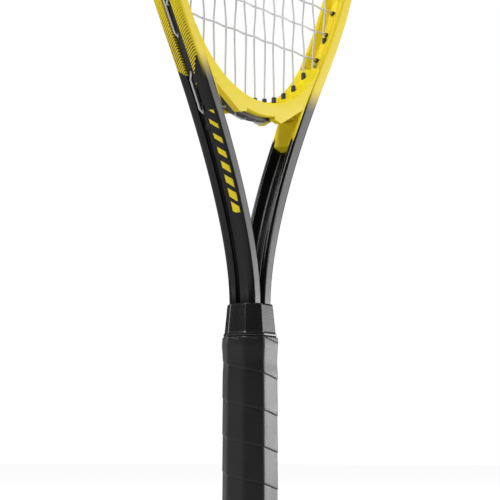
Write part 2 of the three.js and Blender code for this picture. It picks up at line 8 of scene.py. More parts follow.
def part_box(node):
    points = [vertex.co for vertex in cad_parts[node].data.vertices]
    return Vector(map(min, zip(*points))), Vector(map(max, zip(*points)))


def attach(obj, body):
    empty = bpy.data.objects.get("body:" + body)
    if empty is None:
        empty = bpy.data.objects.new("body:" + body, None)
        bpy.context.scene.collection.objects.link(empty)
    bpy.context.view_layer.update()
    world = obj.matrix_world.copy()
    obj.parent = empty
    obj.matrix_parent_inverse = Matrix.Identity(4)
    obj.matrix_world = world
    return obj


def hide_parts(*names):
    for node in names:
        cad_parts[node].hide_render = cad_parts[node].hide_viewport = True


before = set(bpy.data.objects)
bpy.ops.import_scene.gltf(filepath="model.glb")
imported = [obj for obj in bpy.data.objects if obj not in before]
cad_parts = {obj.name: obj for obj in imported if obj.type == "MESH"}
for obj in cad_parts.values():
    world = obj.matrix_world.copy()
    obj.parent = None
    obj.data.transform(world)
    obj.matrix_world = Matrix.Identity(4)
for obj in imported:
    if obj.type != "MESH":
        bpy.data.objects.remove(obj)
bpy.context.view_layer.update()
mm = 0.001

# ------------------------------------------------------------------ camera
# The racket is seen from its left and a little in front, from the height of the hand,
# looking up at the throat with a long lens.
camera = bpy.data.objects.new("camera", bpy.data.cameras.new("camera"))
bpy.context.scene.collection.objects.link(camera)
camera.data.lens = 123.2
camera.data.clip_end = 50
view_azimuth = math.radians(57)
view_distance = 1.118
view_height = 0.1053
aim_height = 0.2406
camera.location = (
    -view_distance * math.sin(view_azimuth), -view_distance * math.cos(view_azimuth), view_height,
)
aim = Vector((0, 0, aim_height)) - camera.location
camera.rotation_euler = aim.to_track_quat("-Z", "Y").to_euler()
bpy.context.scene.camera = camera
bpy.context.scene.view_settings.view_transform = "Standard"

# ------------------------------------------------------------------ floor and light
# A plain pale studio floor and six wide soft lights: two low on the right, a faint one
# low on the left, and one each in front, above and behind. The floor and the air look
# brighter to the camera than they shine on the racket.


class Wire:
    """An output socket of a material. Arithmetic on it adds Math nodes."""

    def __init__(self, tree, socket):
        self.tree = tree
        self.socket = socket

    def node(self, kind, settings, inputs, output=0):
        made = self.tree.nodes.new("ShaderNode" + kind)
        for name, value in settings.items():
            setattr(made, name, value)
        for name, value in inputs.items():
            if isinstance(value, Wire):
                self.tree.links.new(value.socket, made.inputs[name])
            else:
                made.inputs[name].default_value = value
        return Wire(self.tree, made.outputs[output])

    def math(self, operation, *values):
        return self.node("Math", {"operation": operation}, dict(enumerate(values)))

    def __add__(self, other):
        return self.math("ADD", self, other)

    __radd__ = __add__

    def __sub__(self, other):
        return self.math("SUBTRACT", self, other)

    def __rsub__(self, other):
        return self.math("SUBTRACT", other, self)

    def __mul__(self, other):
        return self.math("MULTIPLY", self, other)

    __rmul__ = __mul__

    def __truediv__(self, other):
        return self.math("DIVIDE", self, other)

    def __lt__(self, other):
        return self.math("LESS_THAN", self, other)

    def __gt__(self, other):
        return self.math("GREATER_THAN", self, other)

    def smooth(self, low, high):
        limits = {"From Min": low, "From Max": high}
        return self.node("MapRange", {"interpolation_type": "SMOOTHSTEP"}, {"Value": self, **limits})

    def mix(self, first, second):
        """The first colour where this wire is 0, and the second where it is 1."""
        first = first if isinstance(first, Wire) else (*first, 1)
        second = second if isinstance(second, Wire) else (*second, 1)
        return self.node("Mix", {"data_type": "RGBA"}, {0: self, 6: first, 7: second}, 2)

    def noise(self, scale, detail=3, roughness=0.5):
        inputs = {"Vector": self, "Scale": scale, "Detail": detail, "Roughness": roughness}
        return self.node("TexNoise", {}, inputs)

    def bump(self, strength, distance, under=None):
        inputs = {"Strength": strength, "Distance": distance, "Height": self}
        if under:
            inputs["Normal"] = under
        return self.node("Bump", {}, inputs)


class Finish:
    """A material with one Principled shader and its Object coordinates."""

    def __init__(self, name):
        self.material = bpy.data.materials.new(name)
        self.material.use_nodes = True
        tree = self.material.node_tree
        self.shader = tree.nodes["Principled BSDF"]
        place = tree.nodes.new("ShaderNodeTexCoord")
        self.place = Wire(tree, place.outputs["Object"])
        parts = tree.nodes.new("ShaderNodeSeparateXYZ")
        tree.links.new(place.outputs["Object"], parts.inputs[0])
        self.x, self.y, self.z = [Wire(tree, socket) for socket in parts.outputs]
        turned = tree.nodes.new("ShaderNodeSeparateXYZ")
        tree.links.new(place.outputs["Normal"], turned.inputs[0])
        self.normal_x = Wire(tree, turned.outputs[0])

    def set(self, **values):
        for name, value in values.items():
            socket = self.shader.inputs[name.replace("_", " ")]
            if isinstance(value, Wire):
                value.tree.links.new(value.socket, socket)
            else:
                socket.default_value = value
        return self


floor_finish = Finish("pale_floor")
floor_finish.set(Roughness=0.75)
floor_tone = floor_finish.place.noise(3).smooth(0.2, 0.8).mix((0.55, 0.55, 0.55), (0.58, 0.58, 0.58))
far_share = (floor_finish.x * floor_finish.x + floor_finish.y * floor_finish.y).smooth(0.2, 7)
floor_finish.set(Base_Color=floor_tone, Emission_Strength=1.0)
seen_glow = far_share.mix((0.62, 0.62, 0.62), (0.94, 0.94, 0.94))
seen_directly = floor_finish.place.node("LightPath", {}, {})
floor_finish.set(Emission_Color=seen_directly.mix((0.05, 0.05, 0.05), seen_glow))
floor_mesh = bpy.data.meshes.new("floor")
floor_shape = bmesh.new()
bmesh.ops.create_grid(floor_shape, x_segments=1, y_segments=1, size=20)
floor_shape.to_mesh(floor_mesh)
floor_mesh.materials.append(floor_finish.material)
floor = bpy.data.objects.new("floor", floor_mesh)
bpy.context.scene.collection.objects.link(floor)

# Lights lower than this would streak the floor, so they leave it out.
low_light_height = 1
not_on_floor = bpy.data.collections.new("not_on_floor")
not_on_floor.objects.link(floor)
not_on_floor.collection_objects[0].light_linking.link_state = "EXCLUDE"


def soft_light(name, place, target, width, height, power):
    light = bpy.data.lights.new(name, "AREA")
    light.shape = "RECTANGLE"
    light.size = width
    light.size_y = height
    light.energy = power
    lamp = bpy.data.objects.new(name, light)
    lamp.visible_camera = False
    lamp.location = place
    lamp.rotation_euler = (Vector(target) - Vector(place)).to_track_quat("-Z", "Y").to_euler()
    bpy.context.scene.collection.objects.link(lamp)
    if place[2] < low_light_height:
        lamp.light_linking.receiver_collection = not_on_floor


soft_light("right_low_light", (2.18, -1.42, 0.2), (0, 0, 0.2), 1.5, 0.42, 25)
soft_light("right_light", (2.18, -1.42, 0.72), (0, 0, 0.35), 1.5, 0.6, 8)
soft_light("left_light", (-2.18, 1.42, 0.12), (0, 0, 0.1), 1.0, 0.3, 1.3)
soft_light("front_light", (1.5, -2.1, 1.6), (0, 0, 0.35), 1.5, 1.5, 30)
soft_light("top_light", (-1.5, 0.1, 2.3), (0, 0, 0.3), 1.8, 1.8, 76)
soft_light("back_light", (-0.5, 2.5, 1.3), (0, 0, 0.35), 1.6, 1.6, 26)

world = bpy.data.worlds.new("studio")
bpy.context.scene.world = world
world.use_nodes = True
sky = world.node_tree
dim_sky = sky.nodes["Background"]
dim_sky.inputs["Color"].default_value = (1, 1, 1, 1)
dim_sky.inputs["Strength"].default_value = 0.04
seen_sky = sky.nodes.new("ShaderNodeBackground")
seen_sky.inputs["Color"].default_value = (1, 1, 1, 1)
seen_sky.inputs["Strength"].default_value = 1.0
seen = sky.nodes.new("ShaderNodeLightPath")
choice = sky.nodes.new("ShaderNodeMixShader")
sky.links.new(seen.outputs["Is Camera Ray"], choice.inputs[0])
sky.links.new(dim_sky.outputs[0], choice.inputs[1])
sky.links.new(seen_sky.outputs[0], choice.inputs[2])
sky.links.new(choice.outputs[0], sky.nodes["World Output"].inputs[0])

# ------------------------------------------------------------------ frame tube
# One length of drawn aluminium tube, bent into the head and both shafts. It has a
# channel outside for the grommets and a valley inside that the strings come out of.
# It is sprayed yellow, and black below the throat, where the two meet in a hatching.
tube_depth = 11.5
half_depth = tube_depth / 2
half_beam = 9.9
channel_half = 3.0
channel_depth = 2.6
valley_mouth = 6.2
valley_floor = 2.3
valley_floor_offset = 1.0
head_half = (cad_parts["frame_tube"].dimensions.x / mm) / 2 - half_depth
guard_proud = 1.9
rim_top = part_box("bumper_guard")[1].z / mm - guard_proud - half_depth
widest_height = 528
knee = Vector((73, 361))
lean = math.radians(33.5)
along_lean = Vector((math.sin(lean), math.cos(lean)))
widest_pull = 78
knee_pull_up = 55
knee_pull_down = 60
fork_height = 205
fork_pull = 42
shaft_pull = 60
shaft_x = half_depth + 0.3
shaft_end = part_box("frame_tube")[0].z / mm
roundness = 0.56
corner_pull = 0.45
corner_lead = 1.3

# Stretches of the right half, each a start, two handles and an end, from the tip down.
stretches = [
    [Vector(corner) for corner in stretch]
    for stretch in (
        [(0, rim_top), (head_half * roundness, rim_top),
         (head_half, widest_height + (rim_top - widest_height) * roundness), (head_half, widest_height)],
        [(head_half, widest_height), (head_half, widest_height - widest_pull),
         knee + knee_pull_up * along_lean, knee],
        [knee, knee - knee_pull_down * along_lean,
         (shaft_x, fork_height + fork_pull), (shaft_x, fork_height)],
        [(shaft_x, fork_height), (shaft_x, fork_height - shaft_pull),
         (shaft_x, shaft_end + shaft_pull), (shaft_x, shaft_end)],
    )
]


def rim(station, outward=0, y=0):
    """A point in mm at a station, 0 at the tip and 4 at a shaft's end; the left is minus."""
    number = min(int(abs(station)), 3)
    t = abs(station) - number
    a, b, c, d = stretches[number]
    point = a * (1 - t) ** 3 + b * 3 * t * (1 - t) ** 2 + c * 3 * t * t * (1 - t) + d * t ** 3
    along = ((b - a) * (1 - t) ** 2 + (c - b) * 2 * t * (1 - t) + (d - c) * t * t).normalized()
    point = point + outward * Vector((-along.y, along.x))
    return Vector((math.copysign(1, station) * point.x, y, point.y))


def rim_curve(name, first, last, corners, steps):
    """Sweeps a section along the rim. Corners are inward, frontward and a radius in mm."""
    section = bpy.data.curves.new(name + "_section", "CURVE")
    section.dimensions = "2D"
    section.resolution_u = 5
    spline = section.splines.new("BEZIER")
    spline.use_cyclic_u = True
    spline.bezier_points.add(2 * len(corners) - 1)
    for number, (x, y, radius) in enumerate(corners):
        corner = Vector((x, y, 0))
        for end in (-1, 1):
            near = Vector((*corners[(number + end) % len(corners)][:2], 0))
            point = spline.bezier_points[2 * number + (end + 1) // 2]
            towards = (near - corner).normalized()
            point.co = (corner + towards * radius) * mm
            inner = (corner + towards * radius * corner_pull) * mm
            outer = (corner + towards * radius * corner_lead) * mm
            point.handle_left, point.handle_right = (outer, inner) if end < 0 else (inner, outer)
    profile = bpy.data.objects.new(name + "_section", section)
    bpy.context.scene.collection.objects.link(profile)

    path = bpy.data.curves.new(name + "_path", "CURVE")
    path.dimensions = "2D"
    path.resolution_u = steps
    route = path.splines.new("BEZIER")
    route.bezier_points.add(8)
    half = [stretch[0] for stretch in stretches] + [stretches[-1][3]]
    before = [None] + [stretch[2] for stretch in stretches]
    after = [stretch[1] for stretch in stretches] + [None]
    for place in range(-4, 5):
        number = abs(place)
        side = -1 if place < 0 else 1
        point = route.bezier_points[place + 4]
        spot = half[number]
        up = before[number] or Vector((-after[0].x, after[0].y))
        down = after[number] or spot + (spot - before[number])
        left, right = (down, up) if side < 0 else (up, down)
        point.co = Vector((side * spot.x, spot.y, 0)) * mm
        point.handle_left = Vector((side * left.x, left.y, 0)) * mm
        point.handle_right = Vector((side * right.x, right.y, 0)) * mm
    path.bevel_mode = "OBJECT"
    path.bevel_object = profile
    path.bevel_factor_mapping_start = "SEGMENTS"
    path.bevel_factor_mapping_end = "SEGMENTS"
    path.bevel_factor_start = (first + 4) / 8
    path.bevel_factor_end = (last + 4) / 8
    swept = bpy.data.objects.new(name, path)
    bpy.context.scene.collection.objects.link(swept)
    shape = bmesh.new()
    bpy.context.view_layer.update()
    shape.from_mesh(swept.evaluated_get(bpy.context.evaluated_depsgraph_get()).to_mesh())
    for used in (swept, profile):
        bpy.data.objects.remove(used)
    bmesh.ops.rotate(shape, matrix=Matrix.Rotation(math.pi / 2, 3, "X"), verts=shape.verts)
    bmesh.ops.remove_doubles(shape, verts=shape.verts, dist=0.000002)
    bmesh.ops.holes_fill(shape, edges=[edge for edge in shape.edges if edge.is_boundary], sides=0)
    bmesh.ops.recalc_face_normals(shape, faces=shape.faces)
    return shape


def piece(name, shape, finish, nodes):
    mesh = bpy.data.meshes.new(name)
    shape.to_mesh(mesh)
    shape.free()
    mesh.materials.append(finish.material)
    made = bpy.data.objects.new(name, mesh)
    bpy.context.scene.collection.objects.link(made)
    mesh.shade_smooth()
    mesh.set_sharp_from_angle(angle=math.radians(32))
    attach(made, "root")
    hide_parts(*nodes)
    return made


def both_faces(half):
    return half + [(x, -y, radius) for x, y, radius in reversed(half)]


tube_section = both_faces([
    (-(half_depth - channel_depth), channel_half, 0.3),
    (-half_depth, channel_half, 0.5),
    (-half_depth, half_beam, 3.3),
    (half_depth, half_beam, 2.9),
    (half_depth, valley_mouth, 0.6),
    (valley_floor_offset, valley_floor, 0.8),
])

paint = Finish("sprayed_paint")
height = paint.z * 1000
across = paint.y * 1000

# The hatching: thin black stripes that climb towards the front, thin out with height and
# end below in solid black, one step for each stripe on either side of the middle.
stripe_climb = 0.77
stripe_stretch = 1.262
stripe_pitch = 1.25
stripe_share = 0.36
stripes_thin_from = 356
stripes_thin_to = 396
front_black_height = 337.5
front_black_climb = 1.23
back_black_height = 342.1
back_black_climb = 1.37
slant = (across * stripe_climb + height) / stripe_stretch
stripes = slant.math("PINGPONG", slant, stripe_pitch / 2) / (stripe_pitch / 2)
hatched = stripes < (stripe_share - stripe_share * height.smooth(stripes_thin_from, stripes_thin_to))
step_slant = slant.math("FLOOR", slant / stripe_pitch) * stripe_pitch
front_end = (front_black_height - stripe_stretch * step_slant) / front_black_climb
back_end = (stripe_stretch * step_slant - back_black_height) / back_black_climb
solid = (across < 0) * (across < front_end) + (across > 0) * (across > back_end)
hatched = hatched.math("MAXIMUM", hatched, solid.math("MINIMUM", solid, 1))

# The front and back faces fade from black to yellow instead.
fade_low = 341
fade_high = 362
face_from = 8.6
face_to = 9.6
faded = 1 - height.smooth(fade_low, fade_high)
on_face = across.math("ABSOLUTE", across).smooth(face_from, face_to)
black_share = hatched * (1 - on_face) + faded * on_face

# A plain row of slanted bars decorates the front half of each shaft's outer side.
bars_low = 262
bars_high = 324
bars_front = -8.7
bars_back = -3.7
bar_lean = 0.7
bar_pitch = 8.86
outward_side = (paint.normal_x * paint.x.math("SIGN", paint.x)) > 0.25
bar_slant = (height - across * bar_lean) / bar_pitch
bar_run = bar_slant.math("FRACT", bar_slant)
bar_share = 0.72 - (height - bars_low) / (bars_high - bars_low) * 0.45
bar_band = (across > bars_front) * (across < bars_back) * (height > bars_low) * (height < bars_high)
bars = (bar_run < bar_share) * bar_band * outward_side
black_share = black_share * (1 - bars)

mottle = paint.place.noise(60, 4)
yellow = mottle.mix((0.87, 0.66, 0.006), (0.92, 0.72, 0.010))
black = mottle.mix((0.0025, 0.0025, 0.003), (0.005, 0.005, 0.0055))
paint.set(Base_Color=black_share.mix(yellow, black))
paint.set(Roughness=0.4 - 0.24 * black_share + 0.1 * paint.place.noise(35, 5).smooth(0.35, 0.7))
paint.set(Coat_Weight=0.04 + 0.08 * black_share)
paint.set(Coat_Roughness=0.1, Specular_IOR_Level=0.3)
paint.set(Normal=paint.place.noise(900, 2).bump(0.05, 0.0004))
tube = rim_curve("drawn_tube", -4, 4, tube_section, 26)
piece("drawn_tube", tube, paint, ["frame_tube"])

# ------------------------------------------------------------------ string plan
# Sixteen mains run up and down and eighteen crosses from side to side. Each goes
# through a hole in the web between the channel and the valley.
string_radius = 0.65
strip_gap = 0.25
strip_thickness = 0.6
string_gap = 0.42
strip_inner = half_depth - channel_depth + strip_gap
strip_outer = strip_inner + strip_thickness
string_out = strip_outer + string_gap + string_radius
lane = 2 * string_radius + 0.1
throat_height = 339.5
throat_radius = 95
bridge_thickness = 10.7
underside_height = throat_height - bridge_thickness
underside_radius = 105
yoke_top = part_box("throat_yoke")[1].z / mm
barrel_proud = 2.0
bridge_barrel_proud = 3.8
bridge_strip_proud = 0.9
bridge_strip_thickness = 1.2
bridge_strip_outer = half_depth + bridge_strip_proud
bridge_strip_inner = bridge_strip_outer - bridge_strip_thickness
bridge_strip_half = 3.8
bridge_string_out = bridge_strip_outer + string_gap + string_radius


def station_where(axis, value, outward, first, last):
    """The right half's station where a line beside the rim reaches an x (0) or z (2)."""
    low, high = first, last
    if rim(last, outward)[axis] < rim(first, outward)[axis]:
        low, high = last, first
    for _ in range(40):
        middle = (low + high) / 2
        if rim(middle, outward)[axis] < value:
            low = middle
        else:
            high = middle
    return (low + high) / 2


def throat_surface(x):
    return throat_height + throat_radius - math.sqrt(max(0, throat_radius ** 2 - x ** 2))


def underside(x, outward):
    """The height of a line under the bridge, as far outside as the same line on the rim."""
    radius = underside_radius + outward - half_depth
    return underside_height + underside_radius - math.sqrt(radius ** 2 - x ** 2)


def end_at_tube(axis, value, first, last):
    """Where a string run passes the outside, the strip and the valley of the tube."""
    along = 2 - axis
    outside = station_where(axis, value, string_out, first, last)
    exit_at = rim(outside, string_out)[along]
    strip_middle = (strip_inner + strip_outer) / 2
    strip_at = rim(station_where(axis, value, strip_middle, first, last), strip_middle)[along]
    floor_station = station_where(axis, value, -valley_floor_offset, first, last)
    floor_at = rim(floor_station, -valley_floor_offset)[along]
    mouth = floor_at + math.copysign(1, floor_at - exit_at) * barrel_proud
    return {"station": outside, "exit": exit_at, "strip": strip_at, "mouth": mouth}


outer_main_inset = 37
mains = []
for number in range(1, 9):
    share = (number - 0.5) / 7.5
    x = (head_half - outer_main_inset) * (0.903 * share + 0.097 * share ** 3)
    if number > 4:
        bottom = end_at_tube(0, x, 1.2, 3)
        if throat_surface(x) < yoke_top - 2:
            bottom["mouth"] = throat_surface(x) + bridge_barrel_proud
    else:
        strip_at = underside(x, (bridge_strip_inner + bridge_strip_outer) / 2)
        mouth = throat_surface(x) + bridge_barrel_proud
        bottom = {"exit": underside(x, bridge_string_out), "strip": strip_at, "mouth": mouth}
    mains.append({"x": x, "bottom": bottom, "top": end_at_tube(0, x, 0, 1)})
ferrule_main = mains[6]
ferrule_main["bottom"]["mouth"] -= barrel_proud

cross_low = 385
cross_high = rim_top - 39.4
crosses = []
for number in range(18):
    share = 2 * number / 17 - 1
    half_span = (cross_high - cross_low) / 2
    z = cross_low + half_span * (1 + 0.881 * share + 0.119 * share ** 5)
    crosses.append({"z": z, "end": end_at_tube(2, z, 0, 3)})

# ------------------------------------------------------------------ grommet strips
# Moulded nylon strips lie in the outer channel. Their hollow barrels pass through the
# web, keep each string off the metal, and stand a little proud in the valley.
barrel_radius = 1.75
barrel_taper = 0.93
barrel_rim = 0.45


def add_barrel(shape, start, end):
    """A round barrel in mm from the strip to its mouth, with a softened rim."""
    run = Vector(end) - Vector(start)
    made = bmesh.ops.create_cone(
        shape, cap_ends=True, segments=18, radius1=barrel_radius * mm,
        radius2=barrel_radius * barrel_taper * mm, depth=run.length * mm,
    )
    rim_edges = {
        edge for vert in made["verts"] if vert.co.z > 0 for edge in vert.link_edges
        if all(end_vert.co.z > 0 for end_vert in edge.verts)
    }
    rounded = bmesh.ops.bevel(
        shape, geom=list(rim_edges), offset=barrel_rim * mm, offset_type="OFFSET", segments=2, profile=0.5,
        affect="EDGES", material=-1,
    )
    verts = list({vert for vert in made["verts"] if vert.is_valid} | set(rounded["verts"]))
    turn = run.to_track_quat("Z", "Y").to_matrix().to_4x4()
    middle = Matrix.Translation((Vector(start) + Vector(end)) / 2 * mm)
    bmesh.ops.transform(shape, matrix=middle @ turn, verts=verts)


nylon = Finish("moulded_nylon")
nylon_grain = nylon.place.noise(700, 3)
nylon.set(Base_Color=nylon_grain.mix((0.009, 0.009, 0.010), (0.016, 0.016, 0.017)))
nylon.set(Roughness=0.38 + 0.14 * nylon_grain, Normal=nylon_grain.bump(0.12, 0.0003))

guard_end_height = 574
strip_end_height = 321
strip_end_gap = 0.012
guard_end = station_where(2, guard_end_height, half_depth - channel_depth, 0, 1)
strip_end = station_where(2, strip_end_height, half_depth - channel_depth, 2, 3)
strip_half = channel_half - 0.3
strip_section = both_faces([(-strip_inner, strip_half, 0.1), (-strip_outer, strip_half, 0.22)])

for side, name in ((-1, "left"), (1, "right")):
    ends = sorted((side * (guard_end + strip_end_gap), side * strip_end))
    strip = rim_curve("strip_" + name, *ends, strip_section, 26)
    for main in mains[4:]:
        end = main["bottom"]
        add_barrel(strip, (side * main["x"], 0, end["strip"]), (side * main["x"], 0, end["mouth"]))
    for cross in crosses:
        if cross["z"] <= guard_end_height:
            end = cross["end"]
            add_barrel(strip, (side * end["strip"], 0, cross["z"]), (side * end["mouth"], 0, cross["z"]))
    piece("side_grommets_" + name, strip, nylon, ["grommet_strip_" + name])

# ------------------------------------------------------------------ bumper guard
# A thick moulded guard clips over the tip of the head. It is a grommet strip with two
# broad rails that wrap the tube's outer corners and take the scuffs.
guard_section = both_faces([
    (-strip_outer, 2.15, 0.2),
    (-half_depth - guard_proud, 2.15, 0.6),
    (-half_depth - guard_proud, 6.8, 1.8),
    (-4.45, 10.5, 0.25),
    (-4.65, 10.0, 0.12),
    (-half_depth - 0.3, 7.5, 0.4),
    (-half_depth - 0.3, strip_half, 0.12),
    (-strip_inner, strip_half, 0.12),
])
guard = rim_curve("guard", -guard_end, guard_end, guard_section, 40)
for side in (-1, 1):
    for main in mains:
        end = main["top"]
        add_barrel(guard, (side * main["x"], 0, end["strip"]), (side * main["x"], 0, end["mouth"]))
    for cross in crosses:
        if cross["z"] > guard_end_height:
            end = cross["end"]
            add_barrel(guard, (side * end["strip"], 0, cross["z"]), (side * end["mouth"], 0, cross["z"]))
piece("tip_guard", guard, nylon, ["bumper_guard"])

# ------------------------------------------------------------------ throat yoke
# A yellow injection-moulded bridge that closes the head across the open throat. Its
# arms lie in the valleys of both shafts and a rivet through each holds it.
arm_end = 315.6
arm_tip = 311.5
wing_inner_x = 17
wing_tip = (25.5, 328.3)
wing_outer_x = 53.5
yoke_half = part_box("throat_yoke")[1].y / mm
yoke_edge = 1.1
wing_depth = 4.6
wing_edge = 0.15
wing_inset = 0.03
strip_root = bridge_strip_inner - 2.2
strip_channel_root = bridge_strip_inner - 2.3
underside_lift = 1.3


def arc_points(centre_z, radius, reach, count):
    """Points of an upward-opening arc from -reach to +reach, in mm."""
    turn = math.asin(reach / radius)
    turns = [turn * (2 * step / count - 1) for step in range(count + 1)]
    return [(radius * math.sin(angle), centre_z - radius * math.cos(angle)) for angle in turns]


def plate(outline, near, far, edge):
    """An outline in X and Z, in mm, made as thick as near to far along Y, edges rounded."""
    curve = bpy.data.curves.new("outline", "CURVE")
    curve.dimensions = "2D"
    curve.fill_mode = "BOTH"
    spline = curve.splines.new("POLY")
    spline.use_cyclic_u = True
    spline.points.add(len(outline) - 1)
    for point, (x, z) in zip(spline.points, outline):
        point.co = (x * mm, z * mm, 0, 1)
    curve.extrude = ((far - near) / 2 - edge) * mm
    curve.bevel_depth = edge * mm
    curve.bevel_resolution = 3
    curve.offset = -edge * mm
    made = bpy.data.objects.new("outline", curve)
    bpy.context.scene.collection.objects.link(made)
    bpy.context.view_layer.update()
    shape = bmesh.new()
    shape.from_mesh(made.evaluated_get(bpy.context.evaluated_depsgraph_get()).to_mesh())
    bpy.data.objects.remove(made)
    bmesh.ops.rotate(shape, matrix=Matrix.Rotation(math.pi / 2, 3, "X"), verts=shape.verts)
    bmesh.ops.translate(shape, vec=(0, (near + far) / 2 * mm, 0), verts=shape.verts)
    bmesh.ops.remove_doubles(shape, verts=shape.verts, dist=0.00001)
    bmesh.ops.recalc_face_normals(shape, faces=shape.faces)
    return shape


def combine(shape, other, operation):
    """One shape after a boolean with another."""
    made = []
    for part in (shape, other):
        mesh = bpy.data.meshes.new("part")
        part.to_mesh(mesh)
        part.free()
        made.append(bpy.data.objects.new("part", mesh))
        bpy.context.scene.collection.objects.link(made[-1])
    cut = made[0].modifiers.new("cut", "BOOLEAN")
    cut.operation = operation
    cut.solver = "EXACT"
    cut.object = made[1]
    bpy.context.view_layer.update()
    result = bmesh.new()
    result.from_mesh(made[0].evaluated_get(bpy.context.evaluated_depsgraph_get()).to_mesh())
    for used in made:
        bpy.data.objects.remove(used)
    return result


def band(outer, inner, half_width, reach):
    """A band under the bridge between two lines outside the rim's own, in mm."""
    shape = bmesh.new()
    bmesh.ops.create_grid(shape, x_segments=1, y_segments=1, size=0.5)
    bmesh.ops.scale(shape, vec=((inner - outer) * mm, 2 * half_width * mm, 1), verts=shape.verts)
    bmesh.ops.rotate(shape, matrix=Matrix.Rotation(math.pi / 2, 3, "Y"), verts=shape.verts)
    centre = Vector((0, 0, (underside_height + underside_radius) * mm))
    radius = underside_radius - half_depth + (outer + inner) / 2
    bmesh.ops.translate(shape, vec=centre - Vector((0, 0, radius * mm)), verts=shape.verts)
    turn = math.asin(reach / underside_radius)
    bmesh.ops.rotate(shape, cent=centre, matrix=Matrix.Rotation(-turn, 3, "Y"), verts=shape.verts)
    bmesh.ops.spin(
        shape, geom=shape.verts[:] + shape.edges[:] + shape.faces[:], cent=centre, axis=(0, 1, 0),
        angle=2 * turn, steps=36, use_merge=False, use_duplicate=False,
    )
    bmesh.ops.remove_doubles(shape, verts=shape.verts, dist=0.00001)
    bmesh.ops.recalc_face_normals(shape, faces=shape.faces)
    return shape


throat_reach = math.sqrt(throat_radius ** 2 - (throat_radius + throat_height - yoke_top) ** 2)
arm_inner = rim(station_where(2, arm_end, -half_depth, 2, 3), -half_depth).x + 0.4
valley_heights = [arm_tip + (yoke_top - arm_tip) * step / 10 for step in range(11)]
valley_side = [(rim(station_where(2, z, -0.4, 1, 3), -0.4).x, z) for z in valley_heights]
underside_centre = underside_height + underside_lift + underside_radius
yoke_outline = arc_points(underside_centre, underside_radius, wing_outer_x, 40)
yoke_outline += [(arm_inner, arm_end)] + valley_side
yoke_outline += arc_points(throat_height + throat_radius, throat_radius, throat_reach, 60)[::-1]
yoke_outline += [(-x, z) for x, z in valley_side[::-1]] + [(-arm_inner, arm_end)]
yoke = plate(yoke_outline, -yoke_half, yoke_half, yoke_edge)

wing_outer_z = underside(wing_outer_x, half_depth)
wing_inner_z = underside(wing_inner_x, half_depth)
for side in (-1, 1):
    wing_outline = [
        (side * wing_inner_x, wing_inner_z + 4), (side * wing_inner_x, wing_inner_z - 0.4),
        (side * wing_tip[0], wing_tip[1]),
        (side * wing_outer_x, wing_outer_z - 1), (side * wing_outer_x, wing_outer_z + 4),
    ]
    for near in (wing_inset - yoke_half, yoke_half - wing_depth):
        wing = plate(wing_outline, near, near + wing_depth - wing_inset, wing_edge)
        yoke = combine(yoke, wing, "UNION")
strip_reach = (mains[3]["x"] + mains[4]["x"]) / 2 - 0.4
strip_channel = band(half_depth + 6, strip_channel_root, bridge_strip_half + 0.1, strip_reach + 0.2)
yoke = combine(yoke, strip_channel, "DIFFERENCE")

yellow_plastic = Finish("yellow_moulding")
moulding = yellow_plastic.place.noise(45, 4)
yellow_plastic.set(Base_Color=moulding.mix((0.90, 0.70, 0.008), (0.94, 0.75, 0.014)))
fine_grain = yellow_plastic.place.noise(1100, 2)
yellow_plastic.set(Specular_IOR_Level=0.22, Roughness=0.4 + 0.12 * fine_grain)
yellow_plastic.set(Normal=fine_grain.bump(0.06, 0.0003))
piece("bridge_yoke", yoke, yellow_plastic, ["throat_yoke"])

throat_strip = band(bridge_strip_outer, strip_root, bridge_strip_half, strip_reach)
for side in (-1, 1):
    for main in mains[:4]:
        end = main["bottom"]
        add_barrel(throat_strip, (side * main["x"], 0, end["strip"]), (side * main["x"], 0, end["mouth"]))
piece("throat_grommets", throat_strip, nylon, ["throat_grommet_strip"])

# ------------------------------------------------------------------ strings
# Two silvery nylon strings. The mains are one length that goes up and down, and the
# crosses are the other, woven over and under each main from the throat to the tip.
weave = string_radius + 0.02
woven_steps = 6


def along_channel(first, last, y):
    """Points in the channel from one hole's station to the next, beside the middle."""
    distance = (rim(first) - rim(last)).length
    lead = min(3 / distance, 0.3)
    steps = max(2, round(distance / 3))
    shares = [lead + (1 - 2 * lead) * step / steps for step in range(steps + 1)]
    return [rim(first + (last - first) * share, string_out, y) for share in shares]


def woven(keys):
    """Eases from each (place, height) to the next, as a string bends over its neighbour."""
    eased = [keys[0]]
    for (place, y), (next_place, next_y) in zip(keys, keys[1:]):
        for step in range(1, woven_steps + 1):
            share = step / woven_steps
            ease = (1 - math.cos(math.pi * share)) / 2
            eased.append((place + (next_place - place) * share, y + (next_y - y) * ease))
    return eased


def string_piece(name, points, finish, node):
    curve = bpy.data.curves.new(name, "CURVE")
    curve.dimensions = "3D"
    curve.bevel_depth = string_radius * mm
    curve.bevel_resolution = 1
    curve.use_fill_caps = True
    spline = curve.splines.new("POLY")
    spline.points.add(len(points) - 1)
    for point, place in zip(spline.points, points):
        point.co = (*(Vector(place) * mm), 1)
    made = bpy.data.objects.new(name, curve)
    bpy.context.scene.collection.objects.link(made)
    bpy.context.view_layer.update()
    shape = bmesh.new()
    shape.from_mesh(made.evaluated_get(bpy.context.evaluated_depsgraph_get()).to_mesh())
    bpy.data.objects.remove(made)
    bmesh.ops.remove_doubles(shape, verts=shape.verts, dist=0.00001)
    piece(name, shape, finish, [node])


